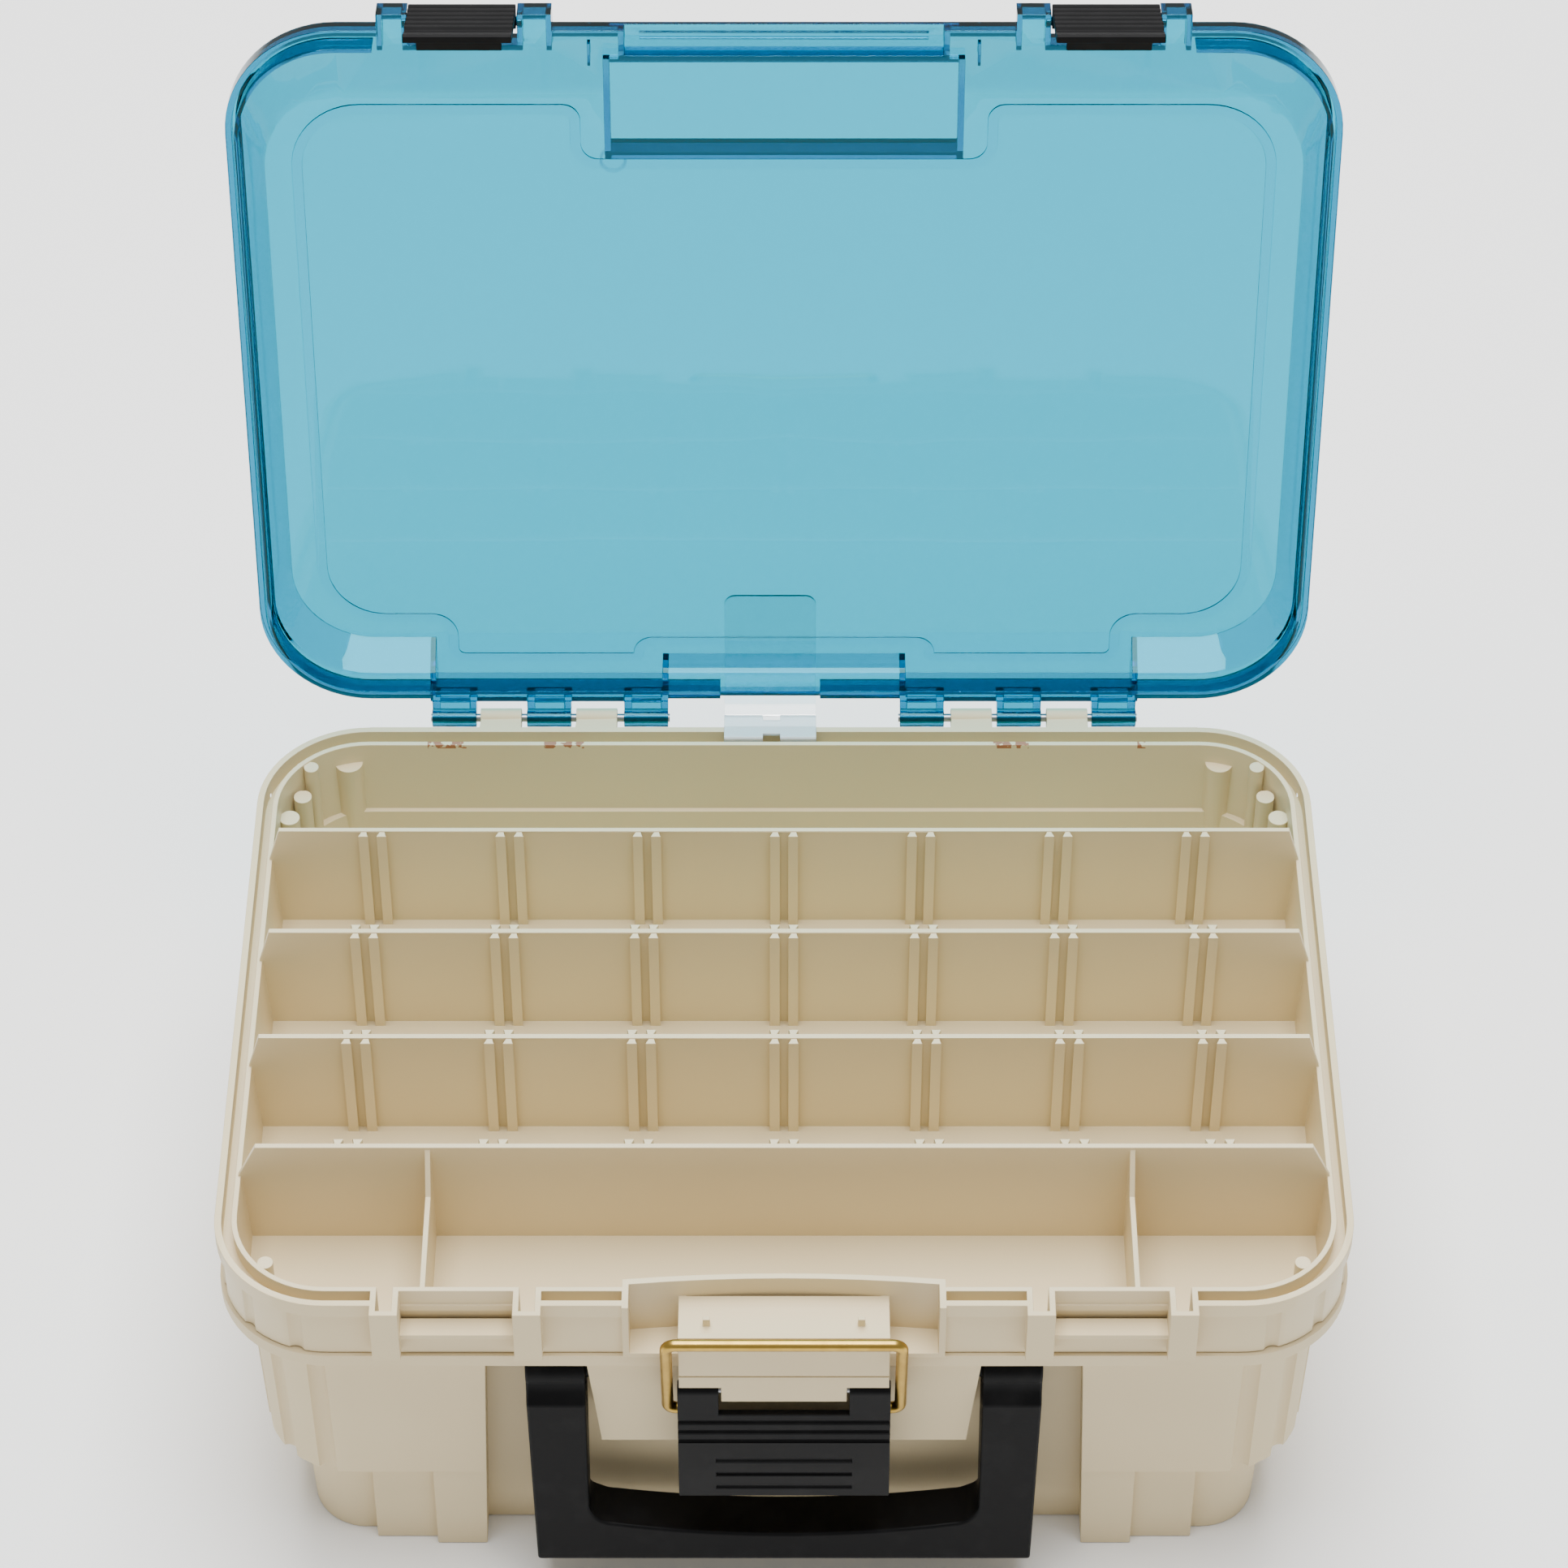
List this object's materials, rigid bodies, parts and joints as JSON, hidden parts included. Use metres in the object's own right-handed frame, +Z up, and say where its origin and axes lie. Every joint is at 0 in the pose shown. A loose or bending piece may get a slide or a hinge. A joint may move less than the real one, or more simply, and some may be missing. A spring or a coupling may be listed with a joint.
{
  "type": "tackle box",
  "caption": "Two-level tackle box with a clear hinged lid, a tray with rows and bins, snap latches, a draw latch with wire bail and a carrying handle.",
  "frame": {"origin": "on the floor under the middle of the box's rim", "axes": "+X to the right seen from the front, +Y from the latches to the hinges, +Z up"},
  "size_m": [0.375, 0.347, 0.4261],
  "materials": {
    "shell_plastic": "beige moulded polypropylene, finely textured",
    "tray_plastic": "beige moulded polypropylene, textured outside and smooth inside",
    "lid_plastic": "transparent blue-green moulded plastic",
    "latch_plastic": "black ribbed moulded plastic",
    "lever_plastic": "black satin moulded plastic",
    "handle_plastic": "black satin moulded plastic",
    "pin_steel": "drawn steel wire",
    "bail_brass": "brass-coloured bent wire",
    "strap_plastic": "natural translucent polypropylene"
  },
  "bodies": {
    "base": {"lower_shell": "shell_plastic", "lever_pin": "pin_steel", "level_hinge_pin_left": "pin_steel", "level_hinge_pin_right": "pin_steel"},
    "upper_level": {"tray_shell": "tray_plastic", "lid_hinge_pin_left": "pin_steel", "lid_hinge_pin_right": "pin_steel", "strap_lower_leaf": "strap_plastic"},
    "lid": {"lid": "lid_plastic", "strap_upper_leaf": "strap_plastic"},
    "latch_left": {"latch_left": "latch_plastic"},
    "latch_right": {"latch_right": "latch_plastic"},
    "lever": {"lever": "lever_plastic"},
    "bail": {"bail": "bail_brass"},
    "handle": {"carrying_handle": "handle_plastic"}
  },
  "joints": [
    {"name": "level_hinge", "type": "hinge", "parent": "base", "child": "upper_level", "pos_m": [0, 0.1385, 0.1144], "axis": [1, 0, 0], "range_deg": [-95, 0]},
    {"name": "lid_hinge", "type": "hinge", "parent": "upper_level", "child": "lid", "pos_m": [0, 0.141, 0.138], "axis": [1, 0, 0], "range_deg": [0, 99.1]},
    {"name": "latch_left_pivot", "type": "hinge", "parent": "lid", "child": "latch_left", "pos_m": [-0.1066, 0.19089, 0.41155], "axis": [1, 0, 0], "range_deg": [-110, 8]},
    {"name": "latch_right_pivot", "type": "hinge", "parent": "lid", "child": "latch_right", "pos_m": [0.1066, 0.19089, 0.41155], "axis": [1, 0, 0], "range_deg": [-110, 8]},
    {"name": "lever_pivot", "type": "hinge", "parent": "base", "child": "lever", "pos_m": [0, -0.1405, 0.105], "axis": [1, 0, 0], "range_deg": [-90, 0]},
    {"name": "bail_pivot", "type": "hinge", "parent": "lever", "child": "bail", "pos_m": [0, -0.1387, 0.093], "axis": [1, 0, 0], "range_deg": [0, 90]},
    {"name": "handle_pivot", "type": "hinge", "parent": "base", "child": "handle", "pos_m": [0, -0.125, 0.0975], "axis": [1, 0, 0], "range_deg": [-90, 0]}
  ],
  "couplings": [
    {"joint": "bail_pivot", "follows": "lever_pivot", "ratio": -1}
  ]
}
